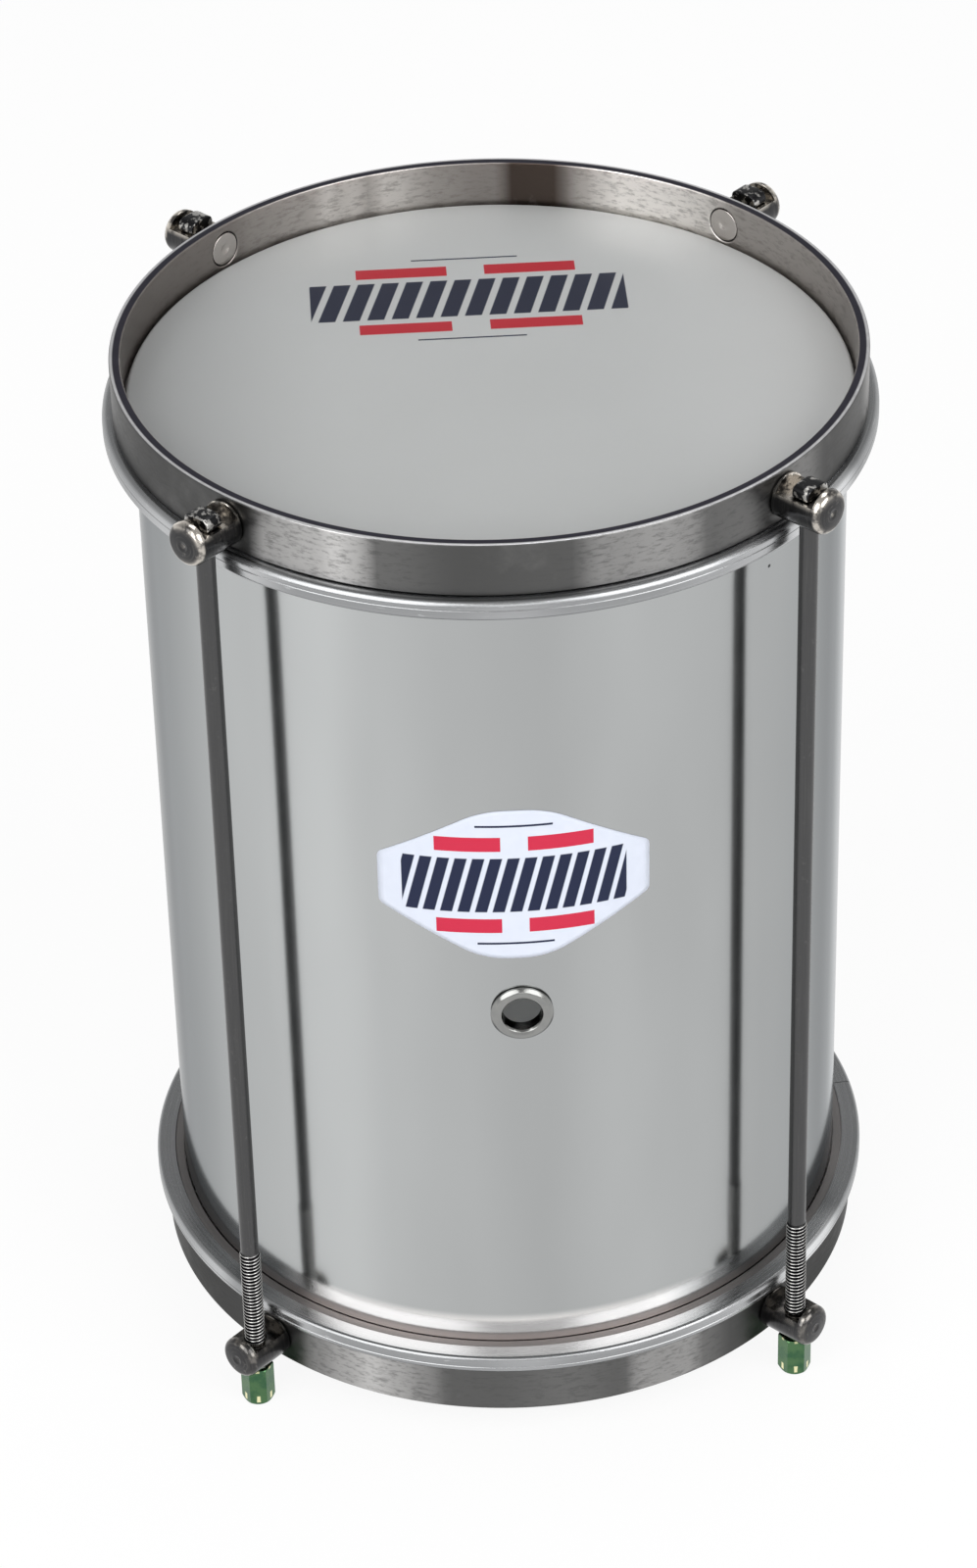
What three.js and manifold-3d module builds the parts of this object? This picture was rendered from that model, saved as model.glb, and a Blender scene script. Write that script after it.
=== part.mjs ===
// Repinique: a small two-headed samba drum. A thin metal shell stands between two plastic
// heads. Each head is glued into a flesh hoop, and a flat steel counterhoop presses on that.
// Four long rods hang by their hammer heads in notched studs on the upper counterhoop, pass
// through the studs of the lower one, and are drawn tight by long hexagon nuts, on which the
// drum stands. Millimetres, +Z up along the drum's axis, origin under the axis at the nuts'
// lower faces, the vent towards -Y.

import * as THREE from 'three';
import { mergeVertices } from 'three/addons/utils/BufferGeometryUtils.js';
import Module from 'manifold-3d';

const wasm = await Module();
wasm.setup();

// Fits shared by all the pieces
const clearance = 0.3;
const cutOverrun = 2;
const mergeDistance = 0.0001;

// How finely round forms are divided
const drumSegments = 60;
const studSegments = 18;
const rodSegments = 12;
const ventSegments = 20;
const nutSides = 6;
const nutRoundSegments = 24;

// Shell: a thin tube whose ends are turned inwards over a round bearing edge
const shellRadius = 101.6;
const shellLength = 279;
const shellWall = 1.2;
const edgeRadius = 3;
const edgeLip = 2.5;

// Head: a plastic film with a deep collar and a flange that is held in the flesh hoop
const filmThickness = 0.4;
const filmBend = 1.2;
const filmCollar = 6;
const filmGrip = 1.7;

// Flesh hoop: a solid aluminium ring with a groove inside for the film's flange
const fleshGap = 2;
const fleshWidth = 6.6;
const fleshHeight = 6;
const fleshCorner = 1.2;

// Counterhoop: flat steel bar on edge, rolled to a ring that stands on the flesh hoop
const hoopInset = 0.4;
const hoopThickness = 3.2;
const hoopHeight = 16;
const hoopEdge = 0.5;

// Studs riveted through the counterhoops, one for each end of each rod
const studRadius = 6.5;
const studBeyondRod = 8.2;
const studChamfer = 2;
const studTailRadius = 5;
const studDimpleRadius = 1.6;
const studDimpleDepth = 0.6;
const studBase = 0.8;
const studEndWall = 2.9;
const upperNotchDepth = 3.4;
const lowerNotchDepth = 2.8;
const spotFaceDepth = 0.4;

// Tension rods with a hammer head above and a rolled thread below, wider than the shank
const rodStandoff = 8.5;
const rodRadius = 3.1;
const rodShankRadius = 2.7;
const rodThreadTop = 58.4;
const rodThreadRunOut = 1;
const rodEndChamfer = 0.7;
const rodEndSink = 1.5;
const hammerLength = 8.8;
const hammerWidth = 5.6;
const hammerHeight = 3.4;
const hammerRound = 1.5;

// Tuning nuts, drawn with a flat towards the vent's side
const nutLength = 13.4;
const nutWall = 1.27;
const nutFootChamfer = 0.9;
const nutTopChamfer = 0.5;
const nutFacing = -Math.PI / 2;

// Vent: a domed eyelet through the shell
const ventBelowMiddle = 7.5;
const ventBoreRadius = 5.6;
const ventBarrelWall = 0.8;
const ventFlangeRadius = 9;
const ventDomeHeight = 1.8;
const ventRim = 0.5;
const ventInnerFlangeRadius = 7.8;
const ventInnerFlange = 0.8;

// Where the studs stand round the drum, counted from +X towards +Y
const corners = [
  { name: 'front_right', turn: -Math.PI / 4 },
  { name: 'back_right', turn: Math.PI / 4 },
  { name: 'back_left', turn: (3 * Math.PI) / 4 },
  { name: 'front_left', turn: (-3 * Math.PI) / 4 },
];

// Radii, from the shell outwards
const fleshInnerRadius = shellRadius + fleshGap;
const hoopInnerRadius = fleshInnerRadius + hoopInset;
const hoopOuterRadius = hoopInnerRadius + hoopThickness;
const rodCircleRadius = hoopOuterRadius + rodStandoff;
const studSeatRadius = hoopOuterRadius + clearance;
const studEndRadius = rodCircleRadius + studBeyondRod;

// Heights in a head set count from the shell's end outwards, which is the set's local +Z
const filmStack = filmThickness + clearance;
const fleshMiddle = filmStack - filmCollar;
const fleshTop = fleshMiddle + fleshHeight / 2;
const hoopBase = fleshTop + clearance;
const studHeight = hoopBase + hoopHeight / 2;

// Levels in the drum, from the nuts' feet upwards
const lowerStudLevel = nutLength + clearance + studRadius - spotFaceDepth;
const shellFoot = lowerStudLevel + studHeight;
const shellTop = shellFoot + shellLength;
const upperStudLevel = shellTop + studHeight;
const ventLevel = shellFoot + shellLength / 2 - ventBelowMiddle;

// The nut's hexagon, across its corners
const nutCornerRadius = (rodRadius + nutWall) / Math.cos(Math.PI / nutSides);

const finishes = {
  shell: new THREE.MeshStandardMaterial({ color: 0xaab0b2, roughness: 0.14, metalness: 1 }),
  vent: new THREE.MeshStandardMaterial({ color: 0xb9bcbd, roughness: 0.16, metalness: 1 }),
  film: new THREE.MeshStandardMaterial({ color: 0xb9bcbc, roughness: 0.42, metalness: 0 }),
  fleshHoop: new THREE.MeshStandardMaterial({ color: 0xb4b8ba, roughness: 0.34, metalness: 1 }),
  strap: new THREE.MeshStandardMaterial({ color: 0x5f6264, roughness: 0.3, metalness: 1 }),
  stud: new THREE.MeshStandardMaterial({ color: 0x66686a, roughness: 0.26, metalness: 1 }),
  rod: new THREE.MeshStandardMaterial({ color: 0x606365, roughness: 0.34, metalness: 1 }),
  nut: new THREE.MeshStandardMaterial({ color: 0x466e50, roughness: 0.3, metalness: 0.8 }),
};

// Makes a closed solid of a geometry: its shared corners are merged and flat slivers dropped.
function solid(geometry) {
  const bare = geometry.index ? geometry.toNonIndexed() : geometry.clone();
  bare.deleteAttribute('normal');
  bare.deleteAttribute('uv');
  const merged = mergeVertices(bare, mergeDistance);
  const index = merged.index.array;
  const kept = [];
  for (let i = 0; i < index.length; i += 3) {
    const face = [index[i], index[i + 1], index[i + 2]];
    if (new Set(face).size === face.length) kept.push(...face);
  }
  return new wasm.Manifold(new wasm.Mesh({
    numProp: 3,
    vertProperties: merged.attributes.position.array,
    triVerts: Uint32Array.from(kept),
  }));
}

// Makes the named mesh of a solid.
function piece(name, body, material) {
  const { vertProperties, triVerts } = body.getMesh();
  const geometry = new THREE.BufferGeometry();
  geometry.setAttribute('position', new THREE.BufferAttribute(vertProperties, 3));
  geometry.setIndex(new THREE.BufferAttribute(triVerts, 1));
  geometry.computeVertexNormals();
  const mesh = new THREE.Mesh(geometry, material);
  mesh.name = name;
  return mesh;
}

// Turns an outline of [radius, height] points, outer side first, round the upright axis.
function turned(outline, segments) {
  const points = outline.map(([radius, height]) => new THREE.Vector2(radius, height));
  if (points[0].x > 0) points.push(points[0].clone());
  return new THREE.LatheGeometry(points, segments).rotateX(Math.PI / 2);
}

// The same outline turned round the +X axis, with its heights along +X.
function turnedOutwards(outline, segments) {
  return turned(outline, segments).rotateY(Math.PI / 2);
}

// Points on a quarter circle about a centre, from one angle to another, both ends included.
function arcPoints(centre, radius, from, to, steps) {
  const points = [];
  for (let i = 0; i <= steps; i += 1) {
    const angle = from + ((to - from) * i) / steps;
    points.push([centre[0] + radius * Math.cos(angle), centre[1] + radius * Math.sin(angle)]);
  }
  return points;
}

// A round cutter of the given radius from one place to another along +X.
function drillOutwards(radius, from, to, segments) {
  const length = to - from;
  const drill = new THREE.CylinderGeometry(radius, radius, length, segments);
  return drill.rotateZ(-Math.PI / 2).translate(from + length / 2, 0, 0);
}

// A shell end: the wall rolls over the bearing edge and ends in a short flat lip.
// Points run from the outer wall over the edge to the inner wall, heights from the end up.
function shellEndOutline() {
  const centre = [shellRadius - edgeRadius, edgeRadius];
  const outer = arcPoints(centre, edgeRadius, 0, -Math.PI / 2, 3);
  const inner = arcPoints(centre, edgeRadius - shellWall, -Math.PI / 2, 0, 2);
  const lipRadius = shellRadius - edgeRadius - edgeLip;
  return [...outer, [lipRadius, 0], [lipRadius, shellWall], ...inner];
}

function makeShell() {
  const foot = shellEndOutline().reverse();
  const top = shellEndOutline().map(([radius, height]) => [radius, shellLength - height]);
  const tube = solid(turned([...foot, ...top], drumSegments));
  const ventHole = drillOutwards(
    ventBoreRadius + ventBarrelWall + clearance,
    shellRadius - shellWall - cutOverrun,
    shellRadius + cutOverrun,
    ventSegments,
  ).rotateZ(-Math.PI / 2).translate(0, 0, ventLevel - shellFoot);
  return piece('shell', tube.subtract(solid(ventHole)), finishes.shell);
}

// The domed eyelet, turned round +X: flat under its outer flange, clinched inside the wall.
function makeVentGrommet() {
  const barrelRadius = ventBoreRadius + ventBarrelWall;
  const innerWallRadius = shellRadius - shellWall;
  const wallSag = innerWallRadius - Math.sqrt(innerWallRadius ** 2 - ventInnerFlangeRadius ** 2);
  const innerSeat = innerWallRadius - wallSag - clearance;
  const outerSeat = shellRadius + clearance;
  const crownRadius = (ventBoreRadius + ventFlangeRadius) / 2;
  const shoulderRadius = (crownRadius + ventFlangeRadius) / 2;
  const shoulderLevel = outerSeat + (ventRim + ventDomeHeight) / 2;
  const eyelet = turnedOutwards([
    [ventInnerFlangeRadius, innerSeat - ventInnerFlange],
    [ventInnerFlangeRadius, innerSeat],
    [barrelRadius, innerSeat],
    [barrelRadius, outerSeat],
    [ventFlangeRadius, outerSeat],
    [ventFlangeRadius, outerSeat + ventRim],
    [shoulderRadius, shoulderLevel],
    [crownRadius, outerSeat + ventDomeHeight],
    [ventBoreRadius, outerSeat + ventRim],
    [ventBoreRadius, innerSeat - ventInnerFlange],
  ], ventSegments);
  return piece('vent_grommet', solid(eyelet), finishes.vent);
}

// The film lies on the shell's edge and, moulded like a lid, runs on past it, bends down
// beside the counterhoop and turns out into the groove.
function makeFilm(name) {
  const collarRadius = fleshInnerRadius - clearance;
  const centre = [collarRadius - filmBend, filmStack - filmBend];
  const inner = arcPoints(centre, filmBend - filmThickness, 0, Math.PI / 2, 2);
  const outer = arcPoints(centre, filmBend, 0, Math.PI / 2, 2);
  const flangeRadius = fleshInnerRadius + filmGrip;
  const flangeFoot = fleshMiddle - filmThickness / 2;
  const skin = turned([
    [0, clearance],
    ...inner.reverse(),
    [collarRadius - filmThickness, flangeFoot],
    [flangeRadius, flangeFoot],
    [flangeRadius, flangeFoot + filmThickness],
    [collarRadius, flangeFoot + filmThickness],
    ...outer,
    [0, filmStack],
  ], drumSegments);
  return piece(name, solid(skin), finishes.film);
}

// The flesh hoop is a ring of rounded square section, with the film's groove inside.
function makeFleshHoop(name) {
  const outerRadius = fleshInnerRadius + fleshWidth;
  const foot = fleshTop - fleshHeight;
  const grooveFoot = fleshMiddle - filmThickness / 2 - clearance;
  const grooveTop = fleshMiddle + filmThickness / 2 + clearance;
  const grooveRadius = fleshInnerRadius + filmGrip + clearance;
  const ring = turned([
    [fleshInnerRadius, foot],
    [outerRadius - fleshCorner, foot],
    [outerRadius, foot + fleshCorner],
    [outerRadius, fleshTop - fleshCorner],
    [outerRadius - fleshCorner, fleshTop],
    [fleshInnerRadius, fleshTop],
    [fleshInnerRadius, grooveTop],
    [grooveRadius, grooveTop],
    [grooveRadius, grooveFoot],
    [fleshInnerRadius, grooveFoot],
  ], drumSegments);
  return piece(name, solid(ring), finishes.fleshHoop);
}

// The counterhoop is flat bar with its corners broken, drilled for the tails of the studs.
function makeCounterhoop(name) {
  const top = hoopBase + hoopHeight;
  let ring = solid(turned([
    [hoopInnerRadius + hoopEdge, hoopBase],
    [hoopOuterRadius - hoopEdge, hoopBase],
    [hoopOuterRadius, hoopBase + hoopEdge],
    [hoopOuterRadius, top - hoopEdge],
    [hoopOuterRadius - hoopEdge, top],
    [hoopInnerRadius + hoopEdge, top],
    [hoopInnerRadius, top - hoopEdge],
    [hoopInnerRadius, hoopBase + hoopEdge],
  ], drumSegments));
  for (const { turn } of corners) {
    const hole = drillOutwards(
      studTailRadius + clearance,
      hoopInnerRadius - cutOverrun,
      hoopOuterRadius + cutOverrun,
      studSegments,
    ).rotateZ(turn).translate(0, 0, studHeight);
    ring = ring.subtract(solid(hole));
  }
  return piece(name, ring, finishes.strap);
}

// A stud turned round +X: peened tail in the hoop, shoulder, round body, dished end.
function studBlank() {
  return solid(turnedOutwards([
    [0, hoopInnerRadius + studDimpleDepth],
    [studDimpleRadius, hoopInnerRadius],
    [studTailRadius, hoopInnerRadius],
    [studTailRadius, studSeatRadius],
    [studRadius, studSeatRadius],
    [studRadius, studEndRadius - studChamfer],
    [studRadius - studChamfer / 2, studEndRadius - studChamfer / 4],
    [studRadius - studChamfer, studEndRadius],
    [studDimpleRadius, studEndRadius],
    [0, studEndRadius - studDimpleDepth],
  ], studSegments));
}

// A flat cut across the stud between two radii, from a level up or down past the stud's side.
function flatCut(from, to, level, side) {
  const height = studRadius - side * level + cutOverrun;
  const across = 2 * (studRadius + cutOverrun);
  const cutter = new THREE.BoxGeometry(to - from, across, height);
  return solid(cutter.translate((from + to) / 2, 0, level + (side * height) / 2));
}

// The notch across a stud's crown, between its round base at the hoop and its end wall.
function crownNotch(depth) {
  const base = studSeatRadius + studBase;
  return flatCut(base, studEndRadius - studEndWall, studRadius - depth, 1);
}

// The hole that the rod runs through.
function rodHole() {
  const depth = 2 * (studRadius + cutOverrun);
  const drill = new THREE.CylinderGeometry(
    rodRadius + clearance,
    rodRadius + clearance,
    depth,
    studSegments,
  );
  return solid(drill.rotateX(Math.PI / 2).translate(rodCircleRadius, 0, 0));
}

// An upper stud: a flat-floored notch across its crown takes the rod's hammer head.
function makeUpperStud(name) {
  const stud = studBlank().subtract(crownNotch(upperNotchDepth)).subtract(rodHole());
  return piece(name, stud, finishes.stud);
}

// A lower stud: a shallower notch above, and a spot face below for the nut.
function makeLowerStud(name) {
  const spotHalf = nutCornerRadius + clearance;
  const spotFace = flatCut(
    rodCircleRadius - spotHalf,
    rodCircleRadius + spotHalf,
    spotFaceDepth - studRadius,
    -1,
  );
  const notched = studBlank().subtract(crownNotch(lowerNotchDepth));
  return piece(name, notched.subtract(spotFace).subtract(rodHole()), finishes.stud);
}

// The hammer head lies across the rod: a round-shouldered bar, flat below.
function hammerHead(level) {
  const half = hammerLength / 2;
  const outline = new THREE.Shape();
  outline.moveTo(-half, 0);
  outline.lineTo(half, 0);
  outline.lineTo(half, hammerHeight - hammerRound);
  outline.absarc(half - hammerRound, hammerHeight - hammerRound, hammerRound, 0, Math.PI / 2);
  outline.lineTo(hammerRound - half, hammerHeight);
  outline.absarc(
    hammerRound - half,
    hammerHeight - hammerRound,
    hammerRound,
    Math.PI / 2,
    Math.PI,
  );
  const bar = new THREE.ExtrudeGeometry(outline, {
    depth: hammerWidth,
    bevelEnabled: false,
    curveSegments: 3,
  });
  bar.translate(0, 0, -hammerWidth / 2).rotateX(Math.PI / 2).rotateZ(Math.PI / 2);
  return solid(bar.translate(0, 0, level));
}

// A rod in its own frame, upright on the origin's axis with its foot above the nut's foot.
function makeRod(name) {
  const seatLevel = upperStudLevel + studRadius - upperNotchDepth + clearance;
  const stem = solid(turned([
    [0, rodEndSink],
    [rodRadius - rodEndChamfer, rodEndSink],
    [rodRadius, rodEndSink + rodEndChamfer],
    [rodRadius, rodThreadTop - rodThreadRunOut],
    [rodShankRadius, rodThreadTop],
    [rodShankRadius, seatLevel + hammerHeight / 2],
    [0, seatLevel + hammerHeight / 2],
  ], rodSegments));
  return piece(name, stem.add(hammerHead(seatLevel)), finishes.rod);
}

// A long hexagon nut, standing on the origin: its corners are turned off at both ends.
function makeNut(name) {
  const bar = new THREE.CylinderGeometry(nutCornerRadius, nutCornerRadius, nutLength, nutSides);
  const hexagon = solid(bar.rotateX(Math.PI / 2).translate(0, 0, nutLength / 2));
  const envelope = solid(turned([
    [0, 0],
    [nutCornerRadius - nutFootChamfer, 0],
    [nutCornerRadius + cutOverrun, nutFootChamfer + cutOverrun],
    [nutCornerRadius + cutOverrun, nutLength - nutTopChamfer - cutOverrun],
    [nutCornerRadius - nutTopChamfer, nutLength],
    [0, nutLength],
  ], nutRoundSegments));
  const bore = new THREE.CylinderGeometry(
    rodRadius + clearance,
    rodRadius + clearance,
    nutLength + 2 * cutOverrun,
    rodSegments,
  );
  bore.rotateX(Math.PI / 2).translate(0, 0, nutLength / 2);
  return piece(name, hexagon.intersect(envelope).subtract(solid(bore)), finishes.nut);
}

// One end's film, flesh hoop, counterhoop and studs, with +Z outwards from the shell's end.
// The lower set is turned over about X, so what is above in the drum is below in its frame.
function makeHeadSet(prefix, makeStud, studTilt) {
  const set = new THREE.Group();
  set.add(makeFilm(`${prefix}_film`));
  set.add(makeFleshHoop(`${prefix}_flesh_hoop`));
  set.add(makeCounterhoop(`${prefix}_counterhoop`));
  for (const { name, turn } of corners) {
    const place = new THREE.Group();
    place.rotation.z = turn * Math.cos(studTilt);
    place.position.z = studHeight;
    const stud = makeStud(`${prefix}_stud_${name}`);
    stud.rotation.x = studTilt;
    place.add(stud);
    set.add(place);
  }
  return set;
}

const repinique = new THREE.Group();

const shell = makeShell();
shell.position.z = shellFoot;
repinique.add(shell);

const ventGrommet = makeVentGrommet();
ventGrommet.rotation.z = -Math.PI / 2;
ventGrommet.position.z = ventLevel;
repinique.add(ventGrommet);

const batterSet = makeHeadSet('batter', makeUpperStud, 0);
batterSet.position.z = shellTop;
repinique.add(batterSet);

const resonantSet = makeHeadSet('resonant', makeLowerStud, Math.PI);
resonantSet.position.z = shellFoot;
resonantSet.rotation.x = Math.PI;
repinique.add(resonantSet);

for (const { name, turn } of corners) {
  const place = new THREE.Group();
  place.rotation.z = turn;
  const rod = makeRod(`tension_rod_${name}`);
  rod.position.x = rodCircleRadius;
  const nut = makeNut(`tuning_nut_${name}`);
  nut.position.x = rodCircleRadius;
  nut.rotation.z = nutFacing - turn;
  place.add(rod, nut);
  repinique.add(place);
}

export default repinique;
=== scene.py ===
# %% [markdown]
# # A repinique, dressed for its picture
# A repinique is the small, high-voiced drum of a samba band. A thin metal shell stands between two
# plastic heads, flat steel hoops press on them, and four long rods draw the hoops together.
# The CAD model gives every place and size. This lesson works out a finer surface for each of its
# pieces as whole numpy arrays, gives each its own finish, and then lights and photographs the drum.

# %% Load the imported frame
import math
import bmesh
import bpy
import numpy as np
from mathutils import Matrix, Vector


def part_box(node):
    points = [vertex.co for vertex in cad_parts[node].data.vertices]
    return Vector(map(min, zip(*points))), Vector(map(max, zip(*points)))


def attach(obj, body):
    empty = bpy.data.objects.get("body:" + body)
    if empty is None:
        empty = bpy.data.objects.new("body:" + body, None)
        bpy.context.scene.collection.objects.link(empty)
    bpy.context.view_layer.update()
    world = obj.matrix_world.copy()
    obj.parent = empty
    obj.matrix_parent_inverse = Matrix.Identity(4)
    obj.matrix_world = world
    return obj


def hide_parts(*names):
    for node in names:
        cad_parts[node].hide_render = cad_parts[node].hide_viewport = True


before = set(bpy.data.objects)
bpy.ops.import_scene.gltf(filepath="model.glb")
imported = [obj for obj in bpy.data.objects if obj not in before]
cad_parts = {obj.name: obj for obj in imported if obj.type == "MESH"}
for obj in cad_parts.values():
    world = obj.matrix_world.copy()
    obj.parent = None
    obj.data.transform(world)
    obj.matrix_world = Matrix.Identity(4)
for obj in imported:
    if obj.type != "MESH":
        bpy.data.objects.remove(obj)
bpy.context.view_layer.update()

# %% [markdown]
# ## Levels and radii
# Every level is read from the solids, so that a fine piece stands exactly where its solid stood.
# The lesson thinks in millimetres, as a drum maker does, and turns to metres only at the mesh.

# %% Read levels and radii from the solids
MM = 0.001
TURN = 2 * math.pi


def box_mm(node):
    """A node's lowest and highest corners in millimetres, to the nearest hundredth."""
    return [np.round(np.array(corner) / MM, 2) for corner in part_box(node)]


shell_low, shell_high = box_mm("shell")
SHELL_RADIUS, SHELL_FOOT, SHELL_TOP = shell_high[0], shell_low[2], shell_high[2]
STRAP_RADIUS, STRAP_THICKNESS = box_mm("batter_counterhoop")[1][0], 3.2
ALLOY_RADIUS, ALLOY_INNER = box_mm("batter_flesh_hoop")[1][0], 103.6
NUT_LENGTH = box_mm("tuning_nut_front_right")[1][2]
vent_low, vent_high = box_mm("vent_grommet")
VENT_LEVEL = (vent_low[2] + vent_high[2]) / 2
LABEL_LEVEL = VENT_LEVEL + 44.95
CORNERS = {"front_right": -45, "back_right": 45, "back_left": 135, "front_left": -135}
rod_low, rod_high = box_mm("tension_rod_front_right")
ROD_CIRCLE = math.hypot(*((rod_low + rod_high) / 2)[:2])
print("shell radius", SHELL_RADIUS, "from", SHELL_FOOT, "to", SHELL_TOP)
print("rod circle", round(ROD_CIRCLE, 2))

# %% [markdown]
# ## Grids of points
# Nearly every piece of a drum is turned, rolled or drawn, so its surface is a grid: one direction
# runs along a profile and the other runs round an axis. Three short functions serve them all.
# One numbers the cells of a grid, one rounds the corners of a profile, and one turns a profile.
# Blender's own primitives could start such forms, but a grid keeps every edge where it is wanted.

# %% Helpers for grids and profiles
def cells(rows, columns):
    """Corner numbers of each cell: a point, its neighbour in the row, and the two points above."""
    first = np.arange(rows - 1)[:, None] * columns + np.arange(columns - 1)
    return np.stack([first, first + 1, first + columns + 1, first + columns], -1).reshape(-1, 4)


def rounded(outline, radii, steps=6):
    """Rounds a closed outline. Each corner's circle touches both sides: its centre lies on the
    bisector at radius / sin(half the corner's angle), and the spokes to the two touching points
    are blended as sin((1 - t) w) and sin(t w) over sin w, where w is the angle between them."""
    corner = np.asarray(outline, float)
    radius = np.broadcast_to(np.asarray(radii, float), len(corner))[:, None]
    back, ahead = np.roll(corner, 1, 0) - corner, np.roll(corner, -1, 0) - corner
    back /= np.linalg.norm(back, axis=1, keepdims=True)
    ahead /= np.linalg.norm(ahead, axis=1, keepdims=True)
    half = np.arccos(np.clip((back * ahead).sum(1, keepdims=True), -1, 1)) / 2
    bisector = (back + ahead) / np.linalg.norm(back + ahead, axis=1, keepdims=True)
    centre = corner + bisector * radius / np.sin(half)
    reach = radius / np.tan(half)
    sweep = (math.pi - 2 * half)[:, :, None]
    t = np.linspace(0, 1, steps + 1)[None, :, None]
    start, end = corner + back * reach - centre, corner + ahead * reach - centre
    spokes = np.sin((1 - t) * sweep) * start[:, None] + np.sin(t * sweep) * end[:, None]
    return (centre[:, None] + spokes / np.sin(sweep)).reshape(-1, 2)


def turned(profile, angles):
    """A profile of (radius, height) points at each angle a: x = radius cos a, y = radius sin a."""
    radius, height = np.asarray(profile, float).T
    flat = [np.outer(radius, np.cos(angles)), np.outer(radius, np.sin(angles))]
    return np.stack(flat + [np.outer(height, np.ones_like(angles))], -1)


def run_along(profile):
    """The length run along a profile up to each of its points."""
    steps = np.linalg.norm(np.diff(np.asarray(profile, float), axis=0), axis=1)
    return np.concatenate([[0], np.cumsum(steps)])


# %% [markdown]
# ## From a grid to a piece
# Grids of one piece are put into one mesh. Their doubled points at seams and poles are merged, so
# that the surface is closed. A grid may carry its own map: how far round and how far along the
# profile each point lies, in millimetres. Finishes such as turning marks follow that map.

# %% Make a mesh object from grids
def make_piece(name, grids, finish, body, closed=True, crease=38, caps=()):
    """Joins grids of (points, map, kept cells) into one object in metres. Points within a tenth
    of a micron become one, and on a closed piece all faces are turned outwards."""
    points, corners, maps, count = [], [], [], 0
    for grid, chart, kept in grids:
        rows, columns = grid.shape[:2]
        faces = cells(rows, columns)
        corners.append((faces if kept is None else faces[kept.ravel()]) + count)
        points.append(grid.reshape(-1, 3))
        maps.append(chart.reshape(-1, 2))
        count += rows * columns
    corners, points, maps = np.concatenate(corners), np.concatenate(points), np.concatenate(maps)
    mesh = bpy.data.meshes.new(name)
    mesh.from_pydata((points * MM).tolist(), [], corners.tolist() + [list(cap) for cap in caps])
    around = np.concatenate([corners.ravel(), *caps]).astype(int)
    mesh.uv_layers.new(name="along").data.foreach_set("uv", (maps[around] * MM).ravel())
    work = bmesh.new()
    work.from_mesh(mesh)
    bmesh.ops.remove_doubles(work, verts=work.verts, dist=1e-7)
    if closed:
        bmesh.ops.recalc_face_normals(work, faces=work.faces)
    work.to_mesh(mesh)
    work.free()
    mesh.shade_smooth()
    mesh.set_sharp_from_angle(angle=math.radians(crease))
    piece = bpy.data.objects.new(name, mesh)
    bpy.context.scene.collection.objects.link(piece)
    piece.data.materials.append(finish)
    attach(piece, body)
    print(f"{name}: {len(mesh.vertices)} points, {len(mesh.polygons)} faces")
    return piece


def chart_of(across, along):
    """The map of a grid: how far round in each column, how far along in each row."""
    return np.stack(np.meshgrid(across, along), -1)


def soften(piece, width, segments=2, angle=50):
    """Breaks the sharp edges of a piece with a small bevel and lets its large faces stay flat."""
    bevel = piece.modifiers.new("broken edges", "BEVEL")
    bevel.width, bevel.segments = width * MM, segments
    bevel.limit_method, bevel.angle_limit = "ANGLE", math.radians(angle)
    piece.modifiers.new("flat faces", "WEIGHTED_NORMAL").keep_sharp = True


# %% [markdown]
# ## Nodes for the finishes
# A finish is a Principled shader whose constants sit on its own sockets, and whose colour,
# roughness and bump come from noise and from where a point lies on the piece. Small helpers keep
# the node trees readable. Patterns read Object coordinates, which are metres here, or the
# piece's own map.

# %% Helpers for node trees
def new_finish(name, **constants):
    """A material with its Principled shader's constants set, its node tree and its shader."""
    material = bpy.data.materials.new(name)
    material.use_nodes = True
    tree = material.node_tree
    shader = next(n for n in tree.nodes if n.type == "BSDF_PRINCIPLED")
    for socket, value in constants.items():
        shader.inputs[socket.replace("_", " ")].default_value = value
    return material, tree, shader


def add(tree, kind, inputs, output=0, **settings):
    """Adds a node, sets its options, and gives its sockets a value or another node's output."""
    node = tree.nodes.new("ShaderNode" + kind)
    for option, value in settings.items():
        setattr(node, option, value)
    for socket, value in inputs.items():
        if isinstance(value, bpy.types.NodeSocket):
            tree.links.new(value, node.inputs[socket])
        else:
            node.inputs[socket].default_value = value
    return node.outputs[output]


def sums(tree, operation, first, second=0.5, third=0.5):
    """One step of arithmetic on one, two or three numbers."""
    return add(tree, "Math", {0: first, 1: second, 2: third}, operation=operation)


def noise(tree, where, scale, detail=4.0, roughness=0.55, distortion=0.0):
    """Soft cloudy noise, from 0 to 1, with this many features to the metre."""
    settings = {"Vector": where, "Scale": scale, "Detail": detail}
    return add(tree, "TexNoise", settings | {"Roughness": roughness, "Distortion": distortion})


def part(tree, vector, axis):
    """One of a vector's three parts: 0, 1 or 2 for x, y or z."""
    return add(tree, "SeparateXYZ", {0: vector}, output=axis)


def stretched(tree, where, by):
    """Coordinates multiplied axis by axis: a small factor draws a pattern out along its axis."""
    return add(tree, "VectorMath", {0: where, 1: by}, operation="MULTIPLY")


def between(tree, value, low, high, to_low=0.0, to_high=1.0, kind="SMOOTHSTEP"):
    """Brings a number from one range to another, held at both ends."""
    ends = {0: value, 1: low, 2: high, 3: to_low, 4: to_high}
    return add(tree, "MapRange", ends, interpolation_type=kind)


def within(tree, value, low, full, still_full, high):
    """Rises from 0 at low to 1 at full, and falls back to 0 between still_full and high."""
    falling = between(tree, value, still_full, high, 1, 0)
    return sums(tree, "MULTIPLY", between(tree, value, low, full), falling)


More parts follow.
